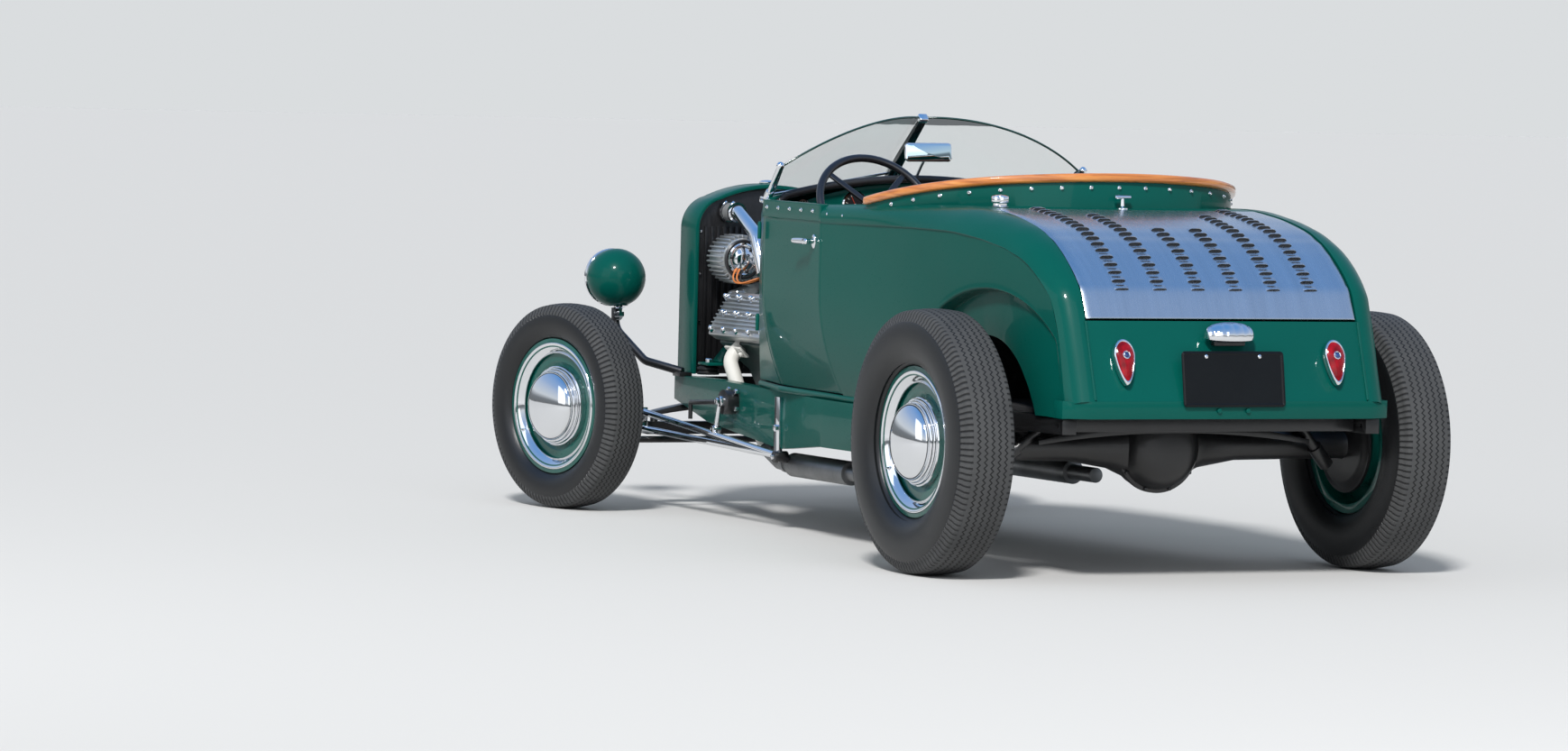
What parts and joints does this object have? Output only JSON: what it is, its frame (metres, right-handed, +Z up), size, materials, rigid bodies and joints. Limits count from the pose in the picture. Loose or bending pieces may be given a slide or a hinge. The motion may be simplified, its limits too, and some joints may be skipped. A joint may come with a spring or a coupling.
{
  "type": "hot rod roadster",
  "caption": "Open two-seat hot rod roadster with separate frame, exposed engine, raked windscreen, opening doors and deck lid, and steered front wheels.",
  "frame": {"origin": "on the ground, under the middle of the bounding box", "axes": "+X to the front of the car, +Y to its left side, +Z up"},
  "size_m": [3.545, 1.7224, 1.331],
  "materials": {
    "body_paint": "gloss",
    "wheel_paint": "gloss",
    "varnished_wood": "gloss varnish",
    "bare_aluminium": "brushed",
    "cast_metal": "satin",
    "chrome": "polished",
    "black_paint": "satin",
    "black_plastic": "gloss",
    "white_coating": "matt",
    "seat_leather": "satin",
    "clear_glass": "clear",
    "red_lens": "gloss",
    "tyre_rubber": "matt"
  },
  "bodies": {
    "chassis": {"collar": "body_paint", "cowl": "body_paint", "crossmembers": "body_paint", "cylinder_heads": "bare_aluminium", "engine_block": "cast_metal", "exhaust": "white_coating", "floor": "black_paint", "frame_rails": "body_paint", "front_axle": "black_paint", "fuel_cap": "chrome", "gearbox": "black_paint", "generator": "black_paint", "headlight_bars": "black_paint", "headlights": "body_paint", "intake_and_carburettors": "bare_aluminium", "leaf_springs": "black_paint", "number_plate": "black_paint", "plate_lamp": "chrome", "quarter_panels": "body_paint", "radiator_core": "black_paint", "radiator_shell": "body_paint", "radius_rods": "chrome", "rear_axle": "black_paint", "rear_view_mirror": "chrome", "seat_back": "seat_leather", "seat_base": "black_paint", "seat_cushion": "seat_leather", "shock_absorbers": "black_paint", "steering_column": "black_paint", "tail_lamps": "red_lens", "tail_panel": "body_paint", "water_pipes": "chrome", "water_pumps": "cast_metal", "windscreen_glass": "clear_glass", "windscreen_posts": "chrome", "wood_rail": "varnished_wood"},
    "door_left": {"door_left": "body_paint", "door_handle_left": "chrome"},
    "door_right": {"door_right": "body_paint", "door_handle_right": "chrome"},
    "deck_lid": {"deck_lid": "bare_aluminium"},
    "steering_wheel": {"steering_wheel": "black_plastic"},
    "knuckle_left": {"knuckle_left": "black_paint"},
    "knuckle_right": {"knuckle_right": "black_paint"},
    "tie_rod": {"tie_rod": "black_paint"},
    "wheel_front_left": {"wheel_front_left": "wheel_paint", "tyre_front_left": "tyre_rubber", "hub_cap_front_left": "chrome"},
    "wheel_front_right": {"wheel_front_right": "wheel_paint", "tyre_front_right": "tyre_rubber", "hub_cap_front_right": "chrome"},
    "wheel_rear_left": {"wheel_rear_left": "wheel_paint", "tyre_rear_left": "tyre_rubber", "hub_cap_rear_left": "chrome"},
    "wheel_rear_right": {"wheel_rear_right": "wheel_paint", "tyre_rear_right": "tyre_rubber", "hub_cap_rear_right": "chrome"}
  },
  "joints": [
    {"name": "steer_left", "type": "hinge", "parent": "chassis", "child": "knuckle_left", "pos_m": [1.40895, 0.62, 0.338], "axis": [0, 0, 1], "range_deg": [-43.9, 16.1]},
    {"name": "steer_right", "type": "hinge", "parent": "chassis", "child": "knuckle_right", "pos_m": [1.40895, -0.62, 0.338], "axis": [0, 0, 1], "range_deg": [-43.9, 16.1]},
    {"name": "tie_rod_pivot", "type": "hinge", "parent": "knuckle_left", "child": "tie_rod", "pos_m": [1.28276, 0.58877, 0.232], "axis": [0, 0, 1], "range_deg": [-16.1, 43.9]},
    {"name": "steering_wheel_turn", "type": "hinge", "parent": "chassis", "child": "steering_wheel", "pos_m": [-0.08805, 0.33, 1.04], "axis": [-0.8192, 0, 0.5736], "range_deg": [-570.7, 209.3]},
    {"name": "spin_front_left", "type": "hinge", "parent": "knuckle_left", "child": "wheel_front_left", "pos_m": [1.38541, 0.71513, 0.338], "axis": [-0.2402, 0.9707, 0], "continuous": true},
    {"name": "spin_front_right", "type": "hinge", "parent": "knuckle_right", "child": "wheel_front_right", "pos_m": [1.43249, -0.71513, 0.338], "axis": [-0.2402, 0.9707, 0], "continuous": true},
    {"name": "spin_rear_left", "type": "hinge", "parent": "chassis", "child": "wheel_rear_left", "pos_m": [-1.28305, 0.734, 0.39], "axis": [0, 1, 0], "continuous": true},
    {"name": "spin_rear_right", "type": "hinge", "parent": "chassis", "child": "wheel_rear_right", "pos_m": [-1.28305, -0.734, 0.39], "axis": [0, 1, 0], "continuous": true},
    {"name": "door_left_hinge", "type": "hinge", "parent": "chassis", "child": "door_left", "pos_m": [0.27695, 0.559, 0.76], "axis": [0, 0, -1], "range_deg": [0, 65]},
    {"name": "door_right_hinge", "type": "hinge", "parent": "chassis", "child": "door_right", "pos_m": [0.27695, -0.559, 0.76], "axis": [0, 0, 1], "range_deg": [0, 65]},
    {"name": "deck_lid_hinge", "type": "hinge", "parent": "chassis", "child": "deck_lid", "pos_m": [-1.69705, 0, 0.768], "axis": [0, -1, 0], "range_deg": [0, 75]}
  ],
  "couplings": [
    {"joint": "steer_right", "follows": "steer_left", "ratio": 1},
    {"joint": "tie_rod_pivot", "follows": "steer_left", "ratio": -1},
    {"joint": "steering_wheel_turn", "follows": "steer_left", "ratio": 13}
  ]
}
